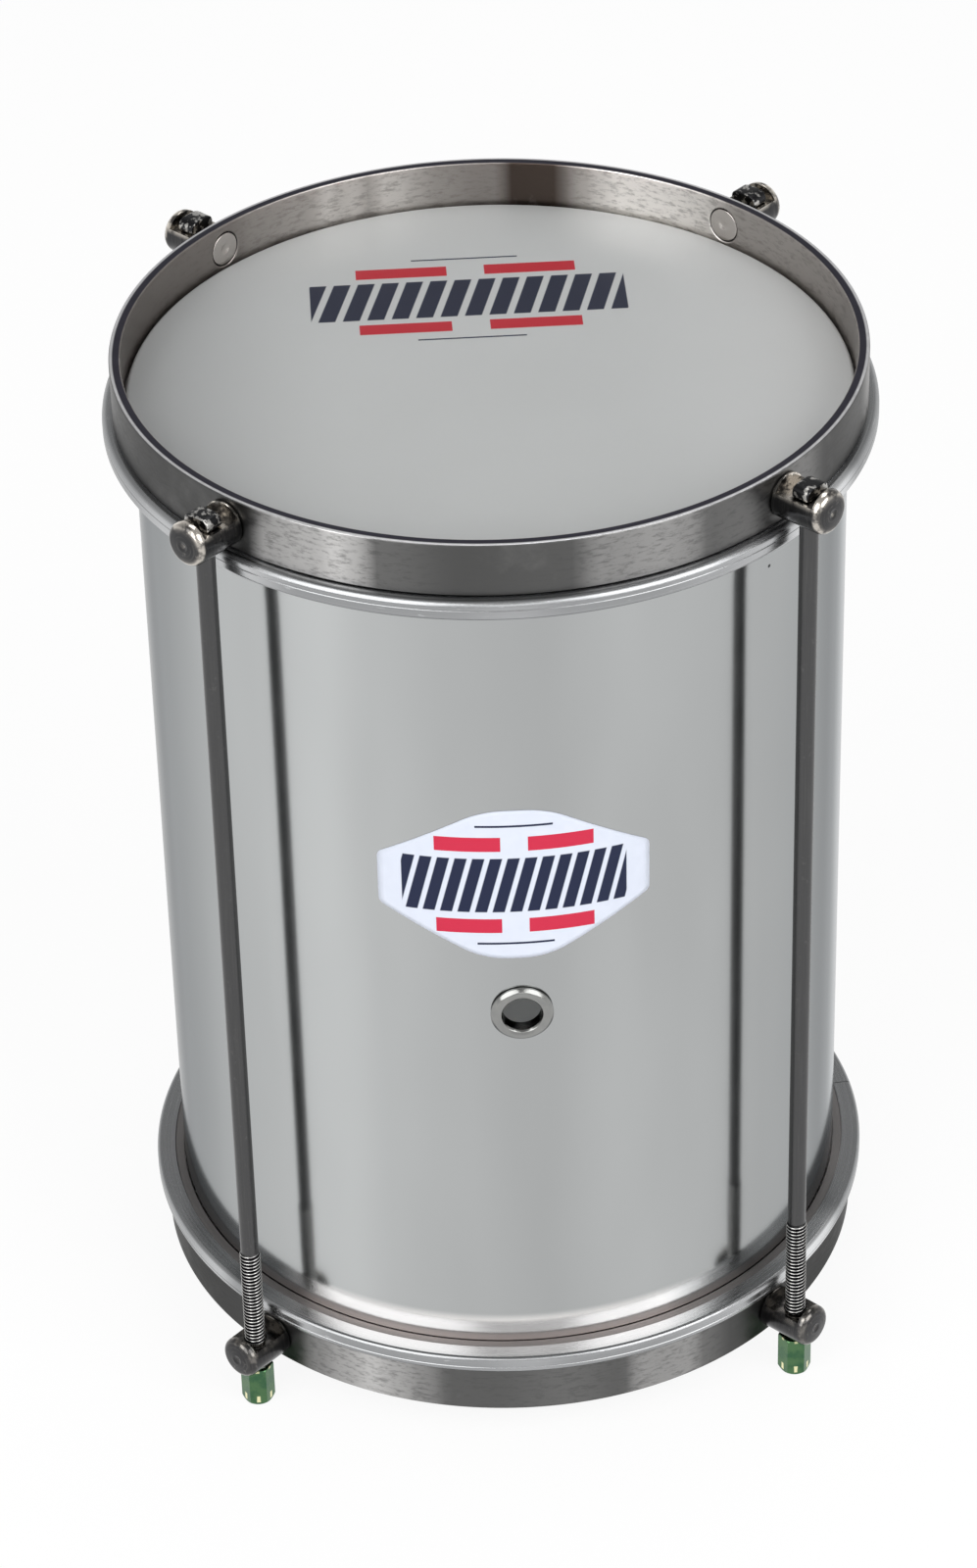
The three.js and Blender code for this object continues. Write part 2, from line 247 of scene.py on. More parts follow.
def mixed(tree, share, first, second, mode="MIX"):
    """Blends two colours by a share from 0 to 1."""
    inputs = {0: share, 6: first, 7: second}
    return add(tree, "Mix", inputs, output=2, data_type="RGBA", blend_type=mode)


def ramp(tree, value, stops, smooth=True):
    """Reads a grey from a list of (place, grey) stops."""
    node = tree.nodes.new("ShaderNodeValToRGB")
    node.color_ramp.interpolation = "EASE" if smooth else "LINEAR"
    points = node.color_ramp.elements
    for place, grey in stops[1:-1]:
        points.new(place)
    for point, (place, grey) in zip(points, stops):
        point.position, point.color = place, (grey, grey, grey, 1)
    tree.links.new(value, node.inputs[0])
    return node.outputs[0]


def bumped(tree, shader, height, distance, strength=1.0):
    """Lets a height in metres tilt the surface."""
    bump = add(tree, "Bump", {"Strength": strength, "Distance": distance, "Height": height})
    tree.links.new(bump, shader.inputs["Normal"])


def place_on(tree):
    """Object coordinates, in metres from under the drum's axis."""
    return tree.nodes.new("ShaderNodeTexCoord").outputs["Object"]


def radius_of(tree, where):
    """How far a point lies from the drum's axis, in metres."""
    return add(tree, "VectorMath", {0: stretched(tree, where, (1, 1, 0))}, output=1, operation="LENGTH")


def azimuth_of(tree, where):
    """How far round the drum a point lies, from 0 to 1, starting at -X and passing -Y at 1/4."""
    return add(tree, "TexGradient", {"Vector": where}, output=1, gradient_type="RADIAL")


def round_the_drum(tree, turn, stops):
    """Reads a grey from a list of (degrees counted from +X towards +Y, grey) stops, -180 to 180."""
    ends = [(-180, stops[0][1])] + stops + [(180, stops[-1][1])]
    return ramp(tree, turn, [(degrees / 360 + 0.5, grey) for degrees, grey in ends])


# %% [markdown]
# ## Finish: bright rolled sheet
# The shell is aluminium sheet, bright from the rolling mill. It mirrors the rods as soft upright
# stripes. Fine rolling lines run up the wall, and a ramp on the azimuth paints reflections round
# it: lighter and darker stretches in the colour. Across the front, just above the lower flesh hoop,
# a bright band is a painted highlight, and below it a browner band is a painted reflection of the
# flesh hoop. One dark fleck sits near the right-hand rod.

# %% Shell finish
SHELL_PAINTED_REFLECTION = [
    (-176, 0.13), (-168, 0.32), (-162, 0.45), (-154, 0.47), (-147, 0.49), (-136, 0.49), (-121, 0.55),
    (-112, 0.49), (-100, 0.45), (-86, 0.41), (-74, 0.45), (-62, 0.44), (-46, 0.42), (-32, 0.44),
    (-24, 0.38), (-20, 0.44), (-13, 0.9), (-4, 0.5), (20, 0.40), (120, 0.42), (160, 0.38), (178, 0.13)]
FOOT_PAINTED_HIGHLIGHT = [(-138, 0.0), (-126, 0.9), (-100, 0.8), (-68, 0.8), (-60, 0.3), (-48, 0.0)]
FOOT_HIGHLIGHT_HEIGHT, HOOP_REFLECTION_HEIGHT = (15.0, 19.0), (9.0, 12.0)
FLECK, FLECK_SIZE = (math.radians(-44.7), SHELL_TOP - 20), (0.3, 0.7)

shell_finish, tree, shader = new_finish(
    "bright_rolled_sheet", Metallic=1.0, Specular_Tint=(0.55, 0.56, 0.57, 1))
where = place_on(tree)
turn = azimuth_of(tree, where)
lines = noise(tree, stretched(tree, where, (1, 1, 0.02)), 700, detail=2)
broad = noise(tree, stretched(tree, where, (1, 1, 0.25)), 26, detail=2)
haze = noise(tree, where, 60, detail=3)
# Painted reflection: a ramp round the drum sets how bright the mirror-like sheet is.
reflection_tone = round_the_drum(tree, turn, SHELL_PAINTED_REFLECTION)
reflection_tone = sums(tree, "MULTIPLY", reflection_tone, between(tree, broad, 0.2, 0.8, 0.94, 1.06, "LINEAR"))
colour = mixed(tree, reflection_tone, (0, 0, 0, 1), (0.975, 1.0, 1.0, 1))
from_foot = sums(tree, "SUBTRACT", part(tree, where, 2), SHELL_FOOT * MM)
# Painted highlight: a bright band across the front, just above the lower flesh hoop.
band = between(tree, from_foot, *(np.array(FOOT_HIGHLIGHT_HEIGHT) * MM), 1, 0)
band = sums(tree, "MULTIPLY", band, round_the_drum(tree, turn, FOOT_PAINTED_HIGHLIGHT))
colour = mixed(tree, band, colour, (0.98, 0.95, 0.93, 1))
# Painted reflection: a browner band below it stands for the flesh hoop mirrored in the wall.
brown = between(tree, from_foot, *(np.array(HOOP_REFLECTION_HEIGHT) * MM), 1, 0)
colour = mixed(tree, brown, colour, mixed(tree, 1.0, colour, (1.0, 0.94, 0.93, 1), "MULTIPLY"))
fleck = np.array([SHELL_RADIUS * math.cos(FLECK[0]), SHELL_RADIUS * math.sin(FLECK[0]), FLECK[1]]) * MM
to_fleck = add(tree, "VectorMath", {0: where, 1: fleck}, output=1, operation="DISTANCE")
fleck = between(tree, to_fleck, *(np.array(FLECK_SIZE) * MM), 1, 0)
colour = mixed(tree, fleck, colour, (0.02, 0.02, 0.02, 1))
tree.links.new(colour, shader.inputs["Base Color"])
gloss = sums(tree, "MULTIPLY_ADD", haze, 0.04, sums(tree, "MULTIPLY_ADD", lines, 0.03, 0.115))
tree.links.new(gloss, shader.inputs["Roughness"])
bumped(tree, shader, lines, 0.000002)
print("shell finish:", len(tree.nodes), "nodes")

# %% [markdown]
# ## Finish: milky film
# A drum head is polyester film, milky and a little translucent, with a satin skin. Light comes
# through it into the shell. Faint clouds change its colour and its gloss. Its colour is painted
# greyer towards -X, a painted shade, and paler towards +X, a painted light.

# %% Film finish
SHADED_MILK, MILK, LIT_MILK = (0.54, 0.553, 0.558, 1), (0.70, 0.715, 0.715, 1), (0.79, 0.80, 0.80, 1)


def make_film_finish(name):
    """Milky film: clouded grey white, satin, with a little light passing through."""
    material, tree, shader = new_finish(name, Transmission_Weight=0.45, IOR=1.5, Specular_IOR_Level=0.3)
    where = place_on(tree)
    clouds = noise(tree, where, 14, detail=3)
    grain = noise(tree, where, 900, detail=3)
    x = part(tree, where, 0)
    # Painted light: greyer towards -X as a painted shade, and paler towards +X as a painted light.
    milk = mixed(tree, between(tree, x, -0.105, -0.04), SHADED_MILK, MILK)
    milk = mixed(tree, between(tree, x, 0.03, 0.10), milk, LIT_MILK)
    colour = mixed(tree, clouds, milk, (0.92, 0.92, 0.91, 1), "MULTIPLY")
    gloss = sums(tree, "MULTIPLY_ADD", grain, 0.08, 0.26)
    tree.links.new(colour, shader.inputs["Base Color"])
    tree.links.new(gloss, shader.inputs["Roughness"])
    bumped(tree, shader, grain, 0.000004)
    return material, tree, shader, where, colour


resonant_finish = make_film_finish("milky_film")[0]
print("finish:", resonant_finish.name)

# %% [markdown]
# ## Finish: printed bars
# A head often carries a band of print, and the shell a vinyl label. Both get the same plain
# pattern of navy bars that lean over, between broken red and thin navy stripes. It is worked out
# from two lengths in millimetres, one along the band and one across it.

# %% The printed band
def bars(tree, along, across, length, height):
    """Shares of navy and of red ink. A leaning bar is where (along - across / 4) / pitch lies more
    than 0.15 from a whole number; stripes are steps in the distance across."""
    middle = sums(tree, "ABSOLUTE", across)
    end = sums(tree, "ABSOLUTE", along)
    lean = sums(tree, "MULTIPLY_ADD", across, -0.25, along)
    pitch = length / 13
    from_gap = sums(tree, "PINGPONG", sums(tree, "DIVIDE", lean, pitch), 0.5)
    edge = 0.12 / pitch
    bar = between(tree, from_gap, 0.15 - edge, 0.15 + edge, 0, 1, "LINEAR")
    tall = between(tree, middle, 0.21 * height - 0.1, 0.21 * height + 0.1, 1, 0, "LINEAR")
    inside = between(tree, end, length / 2 - 0.1, length / 2 + 0.1, 1, 0, "LINEAR")
    navy = sums(tree, "MULTIPLY", sums(tree, "MULTIPLY", bar, tall), inside)
    thin = sums(tree, "COMPARE", middle, 0.46 * height, 0.35)
    thin = sums(tree, "MULTIPLY", thin, sums(tree, "LESS_THAN", end, 0.17 * length))
    broad = sums(tree, "COMPARE", middle, 0.32 * height, 0.055 * height)
    broken = sums(tree, "COMPARE", end, 0.205 * length, 0.145 * length)
    return sums(tree, "MAXIMUM", navy, thin), sums(tree, "MULTIPLY", broad, broken)


# %% Batter film with its print
INK, RED = (0.008, 0.013, 0.042, 1), (0.62, 0.014, 0.032, 1)
PRINT_MIDDLE, PRINT_LENGTH, PRINT_HEIGHT = (-3.5, 47.5), 92, 50

batter_finish, tree, shader, where, colour = make_film_finish("printed_milky_film")
x, y, z = (part(tree, stretched(tree, where, (1000, 1000, 1000)), axis) for axis in range(3))
along, across = (sums(tree, "SUBTRACT", value, middle) for value, middle in zip((x, y), PRINT_MIDDLE))
navy, red = bars(tree, along, across, PRINT_LENGTH, PRINT_HEIGHT)
upper = sums(tree, "GREATER_THAN", z, SHELL_TOP + 0.5)
inked = mixed(tree, sums(tree, "MULTIPLY", red, upper), colour, RED)
inked = mixed(tree, sums(tree, "MULTIPLY", navy, upper), inked, INK)
tree.links.new(inked, shader.inputs["Base Color"])
print("finish:", batter_finish.name)

# %% Vinyl label finish
VINYL_RED = (0.50, 0.018, 0.052, 1)
LABEL_SHIFT, BARS_LENGTH, BARS_HEIGHT = 1.2, 64, 44

label_finish, tree, shader = new_finish("white_vinyl", Roughness=0.34, Specular_IOR_Level=0.25)
where = place_on(tree)
x, y, z = (part(tree, where, axis) for axis in range(3))
round_wall = sums(tree, "ARCTAN2", x, sums(tree, "MULTIPLY", y, -1))
along = sums(tree, "MULTIPLY_ADD", round_wall, SHELL_RADIUS, LABEL_SHIFT)
across = sums(tree, "MULTIPLY_ADD", z, 1000, -LABEL_LEVEL)
navy, red = bars(tree, along, across, BARS_LENGTH, BARS_HEIGHT)
fibre = noise(tree, where, 260, detail=4)
paper = mixed(tree, fibre, (0.55, 0.585, 0.67, 1), (0.61, 0.645, 0.73, 1))
inked = mixed(tree, navy, mixed(tree, red, paper, VINYL_RED), INK)
tree.links.new(inked, shader.inputs["Base Color"])
bumped(tree, shader, fibre, 0.00001)
print("finish:", label_finish.name)

# %% [markdown]
# ## Finish: drawn aluminium
# The flesh hoops are drawn aluminium bar, rolled to a ring. The die leaves fine lines along the
# bar, so the noise is drawn out along the ring's own map. Handling leaves short bright nicks.
# The ledge next to the shell is rougher and painted darker and browner, a painted shade, and some
# stretches round the hoop are painted brighter, painted highlights.

# %% Flesh hoop finish
LEDGE_END = 3.0
ALLOY_PAINTED_LIGHT = [
    (-172, 0.0), (-158, 0.1), (-147, 0.35), (-141, 0.0), (-132, 0.4), (-121, 0.0), (-100, 0.0),
    (-90, 0.12), (-82, 0.0), (-70, 0.0), (-60, 0.12), (-48, 0.3), (-38, 0.85), (-32, 0.7), (-25, 0.0)]

alloy_finish, tree, shader = new_finish(
    "drawn_aluminium", Metallic=1.0, Specular_Tint=(0.85, 0.85, 0.85, 1))
along = tree.nodes.new("ShaderNodeUVMap").outputs[0]
where = place_on(tree)
die_lines = noise(tree, stretched(tree, along, (3, 1400, 1)), 1, detail=4, roughness=0.7)
nicks = noise(tree, stretched(tree, along, (130, 900, 1)), 1, detail=6, roughness=0.7)
worn = between(tree, nicks, 0.60, 0.70)
tone = sums(tree, "MULTIPLY_ADD", worn, 0.5, sums(tree, "MULTIPLY", die_lines, 0.5))
colour = mixed(tree, tone, (0.26, 0.265, 0.27, 1), (0.56, 0.57, 0.58, 1))
ledge = (SHELL_RADIUS + LEDGE_END - 0.3) * MM, (SHELL_RADIUS + LEDGE_END) * MM
dull_shaded_ledge = between(tree, radius_of(tree, where), *ledge, 1, 0)
# Painted shade: the ledge next to the shell is painted darker and browner.
colour = mixed(tree, dull_shaded_ledge, colour, (0.23, 0.22, 0.217, 1))
# Painted highlights: some stretches round the hoop are painted brighter.
painted_light = round_the_drum(tree, azimuth_of(tree, where), ALLOY_PAINTED_LIGHT)
painted_light = sums(tree, "MULTIPLY", painted_light, sums(tree, "SUBTRACT", 1.0, dull_shaded_ledge))
colour = mixed(tree, painted_light, colour, (0.92, 0.93, 0.94, 1))
tree.links.new(colour, shader.inputs["Base Color"])
satin = between(tree, die_lines, 0.2, 0.8, 0.18, 0.34)
tree.links.new(sums(tree, "MULTIPLY_ADD", dull_shaded_ledge, 0.28, satin), shader.inputs["Roughness"])
bumped(tree, shader, sums(tree, "MULTIPLY_ADD", nicks, 0.6, die_lines), 0.00003)
print("finish:", alloy_finish.name)

# %% [markdown]
# ## Finish: plated flat bar
# The counterhoops are mild steel bar with a dull nickel plate. Rolling and handling leave cloudy
# grey patches with short scratches along the bar, and the weld leaves a brown stain inside.
# The patches are noise, helped by a ramp of painted reflections that says how bright the bar is
# round the ring. Its upper and lower edges are painted dark, a painted shade, with a painted
# highlight line near the outer corner.

# %% Counterhoop finish
def at_depth(millimetres):
    """The radius, in metres, at a depth inwards from a counterhoop's outer wall."""
    return (STRAP_RADIUS - millimetres) * MM


def make_strap_finish(name, edge_on, outside, inside, stain):
    """Dull plate with painted reflections where the ramps of azimuths for its outer and inner walls
    say so, and brighter noise patches. The inner wall is painted brighter and browner, and it is
    stained at the weld. Seen edge on, a duller bar has a lesser tint."""
    material, tree, shader = new_finish(name, Metallic=1.0, Specular_Tint=(edge_on, edge_on, edge_on, 1))
    where = place_on(tree)
    turn = azimuth_of(tree, where)
    radius = radius_of(tree, where)
    inner = between(tree, radius, at_depth(3.0), at_depth(2.7), 1, 0)
    streaks = noise(tree, stretched(tree, where, (1, 1, 3.5)), 260, detail=7, roughness=0.7)
    patches = noise(tree, where, 42, detail=5, roughness=0.6)
    # Painted reflections: ramps round the drum set how bright the outer and inner walls are.
    lit = mixed(tree, inner, round_the_drum(tree, turn, outside), round_the_drum(tree, turn, inside))
    lit = sums(tree, "MULTIPLY", lit, between(tree, streaks, 0.34, 0.54, 0.45, 1.0))
    share = sums(tree, "MAXIMUM", lit, between(tree, patches, 0.45, 0.8, 0, 0.12))
    plate = mixed(tree, share, (0.092, 0.092, 0.091, 1), (0.68, 0.67, 0.66, 1))
    inner_plate = mixed(tree, share, (0.24, 0.215, 0.20, 1), (1.0, 0.96, 0.92, 1))
    colour = mixed(tree, inner, plate, inner_plate)
    weld = sums(tree, "MULTIPLY", round_the_drum(tree, turn, stain), between(tree, patches, 0.30, 0.45))
    colour = mixed(tree, sums(tree, "MULTIPLY", weld, inner), colour, (0.085, 0.066, 0.056, 1))
    # Painted shade on the bar's upper and lower edges, and a painted highlight line near the outer
    # corner.
    edge = within(tree, radius, at_depth(3.1), at_depth(2.8), at_depth(0.3), at_depth(0.1))
    corner = within(tree, radius, at_depth(1.2), at_depth(0.8), at_depth(0.3), at_depth(0.1))
    colour = mixed(tree, edge, colour, (0.060, 0.058, 0.075, 1))
    colour = mixed(tree, sums(tree, "MULTIPLY", corner, 0.85), colour, (0.92, 0.92, 0.93, 1))
    tree.links.new(colour, shader.inputs["Base Color"])
    tree.links.new(between(tree, streaks, 0.25, 0.75, 0.28, 0.44), shader.inputs["Roughness"])
    bumped(tree, shader, streaks, 0.00003)
    return material


# %% Painted reflections: how bright each counterhoop is round the ring
UPPER_OUTSIDE_REFLECTION = [
    (-176, 0.22), (-166, 0.05), (-150, 0.0), (-131, 0.0), (-128, 0.47), (-119, 0.64), (-116, 0.9),
    (-112.5, 0.6), (-109.5, 0.1), (-97, 0.0), (-82, 0.03), (-77, 0.32), (-68, 0.42), (-63, 0.34),
    (-60, 0.09), (-52, 0.14), (-40, 0.26), (-34, 0.03), (-20, 0.1), (-12, 0.6), (20, 0.2)]
UPPER_INSIDE_REFLECTION = [
    (42, 0.3), (50, 0.9), (56, 1.0), (65, 1.0), (68, 0.72), (71, 0.36), (74, 0.06), (84, 0.12),
    (88, 0.14), (95, 0.25), (99, 0.42), (101, 0.58), (104, 0.62), (107, 0.3), (110, 0.7), (114, 0.6),
    (118, 0.3), (128, 0.25), (134, 0.1)]
UPPER_STAIN = [
    (73, 0.0), (76, 1.0), (83.5, 1.0), (85, 0.0), (108, 0.0), (110, 0.2), (112, 0.2), (114, 0.0)]
LOWER_OUTSIDE_REFLECTION = [
    (-150, 0.0), (-131, 0.0), (-126, 0.3), (-121, 0.55), (-116, 0.8), (-112, 0.55), (-107, 0.3),
    (-103, 0.05), (-96, 0.05), (-84, 0.12), (-75, 0.06), (-72, 0.4), (-63, 0.42), (-60, 0.14),
    (-54, 0.0), (30, 0.0), (40, 0.4), (50, 0.1), (125, 0.1), (135, 0.5), (145, 0.05)]
LOWER_INSIDE_REFLECTION = [(40, 0.2), (60, 0.6), (75, 0.2), (140, 0.2), (150, 0.6), (160, 0.2)]
LOWER_STAIN = [(93, 0.0), (95, 0.9), (97, 0.9), (99, 0.0)]

batter_strap_finish = make_strap_finish(
    "plated_bar_upper", 0.62, UPPER_OUTSIDE_REFLECTION, UPPER_INSIDE_REFLECTION, UPPER_STAIN)
resonant_strap_finish = make_strap_finish(
    "plated_bar_lower", 0.48, LOWER_OUTSIDE_REFLECTION, LOWER_INSIDE_REFLECTION, LOWER_STAIN)
print("finishes:", batter_strap_finish.name, resonant_strap_finish.name)

# %% [markdown]
# ## Finish: turned and drawn steel
# The studs are turned from round bar, so their marks run round them, which is across the map's
# long direction. The rods are drawn, so their marks run along. Both are plated dark and shine
# through where they have rubbed.

# %% Dark plate on steel
def make_steel_finish(name, dark, light, stretch, rough, depth):
    """Dark plate on steel: lines along one direction of the map, and rubbed lighter spots."""
    material, tree, shader = new_finish(name, Metallic=1.0)
    along = tree.nodes.new("ShaderNodeUVMap").outputs[0]
    where = place_on(tree)
    marks = noise(tree, stretched(tree, along, stretch), 1, detail=5, roughness=0.65)
    rubbed = noise(tree, where, 420, detail=6, roughness=0.7)
    spots, scratches = between(tree, rubbed, 0.58, 0.76, 0, 0.7), between(tree, marks, 0.45, 0.9, 0, 0.5)
    colour = mixed(tree, sums(tree, "MAXIMUM", spots, scratches), dark, light)
    tree.links.new(colour, shader.inputs["Base Color"])
    tree.links.new(between(tree, marks, 0.2, 0.8, rough[0], rough[1]), shader.inputs["Roughness"])
    bumped(tree, shader, sums(tree, "MULTIPLY_ADD", rubbed, 0.4, marks), depth)
    return material, tree, shader, where, along, colour


# %% [markdown]
# ## Finish: studs
# A stud gets a painted highlight along its crown and round the rim of its end. The crown is a
# quarter turn from where the map starts, so the length round the stud, folded at half a turn,
# tells how far a point lies from it. The painted highlight is weaker on the lower studs. A tail
# is hammered over inside the bar and is as clean as the bar there.

# %% Stud finish
STUD, STUD_END = 6.5, ROD_CIRCLE + 8.2

stud_finish, tree, shader, where, along, colour = make_steel_finish(
    "turned_plated_stud", (0.048, 0.048, 0.050, 1), (0.26, 0.25, 0.23, 1),
    stretch=(60, 2600, 1), rough=(0.13, 0.24), depth=0.00002)
radius = radius_of(tree, where)
from_crown = sums(tree, "SUBTRACT", part(tree, along, 0), STUD * MM * TURN / 4)
from_crown = sums(tree, "PINGPONG", from_crown, STUD * MM * TURN / 2)
crown = between(tree, from_crown, 0.0060, 0.0085, 1, 0)
rim = within(tree, radius, *((STUD_END - np.array([2.4, 1.4, 0.6, 0.1])) * MM))
body = between(tree, radius, (STUD_END - 1.4) * MM, (STUD_END - 0.6) * MM, 1, 0)
# Painted highlight along the crown and round the end's rim, weaker on the lower studs.
painted_highlight = sums(tree, "MAXIMUM", sums(tree, "MULTIPLY", crown, body), sums(tree, "MULTIPLY", rim, 0.6))
highlight_breakup = between(tree, noise(tree, where, 300, detail=4), 0.40, 0.58, 0.12, 1.0)
upper = between(tree, part(tree, where, 2), 0.1, 0.2, 0.28, 1)
painted_highlight = sums(tree, "MULTIPLY", painted_highlight, sums(tree, "MULTIPLY", highlight_breakup, upper))
colour = mixed(tree, painted_highlight, colour, (0.85, 0.79, 0.71, 1))
tail = between(tree, radius, at_depth(2.8), at_depth(2.5), 1, 0)
tree.links.new(mixed(tree, tail, colour, (0.60, 0.56, 0.53, 1)), shader.inputs["Base Color"])
print("finish:", stud_finish.name)

# %% [markdown]
# ## Finish: rods
# The thread's crests get a painted highlight and its roots a painted shade. The phase is the
# height in pitches less the part of a turn, and it is whole on a crest. The hammer head has bright
# and black patches from the blows that forged it.

# %% Rod finish
ROD, PITCH, THREAD_END = 3.1, 1.27, 58.4

rod_finish, tree, shader, where, along, colour = make_steel_finish(
    "drawn_plated_rod", (0.085, 0.085, 0.086, 1), (0.15, 0.148, 0.145, 1),
    stretch=(1800, 40, 1), rough=(0.24, 0.40), depth=0.00002)
turns_round = sums(tree, "DIVIDE", part(tree, along, 0), TURN * ROD * MM)
phase = sums(tree, "SUBTRACT", sums(tree, "DIVIDE", part(tree, along, 1), PITCH * MM), turns_round)
root = between(tree, sums(tree, "PINGPONG", phase, 0.5), 0.02, 0.14)
# Painted highlight on the thread's crests and painted shade in its roots.
thread_light_and_shade = mixed(tree, root, (0.78, 0.77, 0.75, 1), (0.008, 0.008, 0.009, 1))
level = part(tree, where, 2)
threaded = between(tree, level, (THREAD_END - 1.3) * MM, (THREAD_END - 0.5) * MM, 1, 0)
hammered = between(tree, level, (rod_high[2] - 4.6) * MM, (rod_high[2] - 3.9) * MM)
blows = between(tree, noise(tree, where, 480, detail=3), 0.50, 0.58)
colour = mixed(tree, hammered, colour, mixed(tree, blows, (0.03, 0.03, 0.032, 1), (0.50, 0.49, 0.47, 1)))
tree.links.new(mixed(tree, threaded, colour, thread_light_and_shade), shader.inputs["Base Color"])
print("finish:", rod_finish.name)

# %% [markdown]
# ## Finish: green zinc
# The nuts are zinc plated and passivated green, with the yellow and pink film colours that come
# with it. Their corners get painted yellow white glints. The map's first direction counts sixths
# of a turn, so the distance to a corner is easy to find. Its second direction runs up the nut, and
# the painted glints sit at two lengths along it.

# %% Nut finish
FOOT_GLINT, CROWN_GLINT = (0.0030, 0.0012), (0.0145, 0.0011)

nut_finish, tree, shader = new_finish("green_passivated_zinc", Metallic=1.0)
along = tree.nodes.new("ShaderNodeUVMap").outputs[0]
where = place_on(tree)
across, up = (part(tree, along, axis) for axis in range(2))
to_corner = sums(tree, "PINGPONG", sums(tree, "MULTIPLY", across, 1 / MM), 0.5)
drift = noise(tree, where, 230, detail=4)
corner = between(tree, sums(tree, "MULTIPLY_ADD", drift, -0.16, to_corner), 0.26, 0.34)
foot, crown = (sums(tree, "COMPARE", up, *glint) for glint in (FOOT_GLINT, CROWN_GLINT))
green = mixed(tree, between(tree, drift, 0.35, 0.65), (0.050, 0.125, 0.066, 1), (0.090, 0.180, 0.085, 1))
# Painted glints on the corners, at the foot and near the top.
glint = sums(tree, "MULTIPLY", corner, sums(tree, "MAXIMUM", foot, sums(tree, "MULTIPLY", crown, 0.6)))
colour = mixed(tree, glint, green, (0.90, 0.86, 0.52, 1))
tree.links.new(colour, shader.inputs["Base Color"])
tree.links.new(between(tree, drift, 0.2, 0.8, 0.18, 0.34), shader.inputs["Roughness"])
bumped(tree, shader, noise(tree, where, 1500, detail=4), 0.00002)

# %% Vent finish
vent_finish, tree, shader = new_finish("polished_eyelet", Metallic=1.0)
where = place_on(tree)
smears = noise(tree, where, 300, detail=5)
colour = mixed(tree, smears, (0.22, 0.224, 0.224, 1), (0.35, 0.35, 0.335, 1))
tree.links.new(colour, shader.inputs["Base Color"])
tree.links.new(between(tree, smears, 0.3, 0.7, 0.12, 0.26), shader.inputs["Roughness"])
bumped(tree, shader, smears, 0.00001)
print("finishes:", len(bpy.data.materials))

# %% [markdown]
# ## A round hole in a rolled wall
# The shell has a hole for its vent, and each counterhoop has four for the tails of its studs.
# A Boolean would leave long thin faces that spoil the mirror round the hole. Instead a block of
# cells is left out of the grid, and rings of points lead from the block's square border to a
# circle: (1 - t) times the border plus t times the circle. Both lie on the same cylinder.

# %% Rings from a square border to a circle
def ring_patch(angles, levels, block, radius, hole, rings=5):
    """Points on a wall of this radius that lead from the border of a block of cells
    (first and last column, first and last row) to a hole at the block's middle."""
    c0, c1, r0, r1 = block
    along, up = np.arange(c0, c1), np.arange(r0, r1)
    column = np.concatenate([along, np.full(r1 - r0, c1), along[::-1] + 1, np.full(r1 - r0, c0), [c0]])
    row = np.concatenate([np.full(c1 - c0, r0), up, np.full(c1 - c0, r1), up[::-1] + 1, [r0]])
    scale = np.array([radius, 1.0])
    border = np.stack([angles[column], levels[row]], -1) * scale
    middle = np.array([angles[[c0, c1]].mean(), levels[[r0, r1]].mean()]) * scale
    away = border - middle
    circle = away / np.linalg.norm(away, axis=1, keepdims=True) * hole
    t = np.linspace(0, 1, rings + 1)[:, None, None]
    flat = middle + (1 - t) * away + t * circle
    angle = flat[..., 0] / radius
    points = np.stack([radius * np.cos(angle), radius * np.sin(angle), flat[..., 1]], -1)
    return points, flat, None


# %% [markdown]
# ## The shell
# The shell is one sheet, welded to a tube and turned in at both ends over a round bearing edge.
# Its outer skin is a profile turned round the axis. Solidify then gives it the sheet's thickness
# inwards, which makes the inner wall, the lips and the rim of the vent hole in one step.

# %% Make the shell
EDGE, LIP, SHEET = 3.0, 2.5, 1.2
angles = np.radians(np.arange(-180, 181))
swing = np.radians(np.linspace(-90, 0, 9))
foot_edge = EDGE * np.stack([np.cos(swing), np.sin(swing)], -1)
foot_edge = foot_edge + (SHELL_RADIUS - EDGE, SHELL_FOOT + EDGE)
top_edge = foot_edge[::-1] * [1, -1] + [0, SHELL_FOOT + SHELL_TOP]
levels = np.concatenate([
    np.linspace(SHELL_FOOT + EDGE, VENT_LEVEL - 9, 7)[1:],
    np.linspace(VENT_LEVEL - 9, VENT_LEVEL + 9, 11)[1:],
    np.linspace(VENT_LEVEL + 9, SHELL_TOP - EDGE, 9)[1:-1]])
lip = SHELL_RADIUS - EDGE - LIP
profile = np.concatenate([
    [[lip, SHELL_FOOT]], foot_edge, np.stack([np.full_like(levels, SHELL_RADIUS), levels], -1),
    top_edge, [[lip, SHELL_TOP]]])
first_level = 1 + len(foot_edge)
vent_row = first_level + int(np.argmin(abs(levels - VENT_LEVEL)))
block = (85, 95, vent_row - 5, vent_row + 5)
kept = np.ones((len(profile) - 1, len(angles) - 1), bool)
kept[block[2]:block[3], block[0]:block[1]] = False
wall = turned(profile, angles), chart_of(angles * SHELL_RADIUS, run_along(profile)), kept
hole = ring_patch(angles, profile[:, 1], block, SHELL_RADIUS, 6.7)
shell = make_piece("shell_tube", [wall, hole], shell_finish, "drum", closed=False)
sheet = shell.modifiers.new("sheet", "SOLIDIFY")
sheet.thickness, sheet.offset = SHEET * MM, -1
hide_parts("shell")

# %% [markdown]
# ## The vent
# A drum breathes through a small hole, and an eyelet keeps its edge from tearing. The eyelet is
# a domed flange, a barrel through the wall and a clinched flange inside. It is turned round an
# axis that points out through the wall, towards -Y.

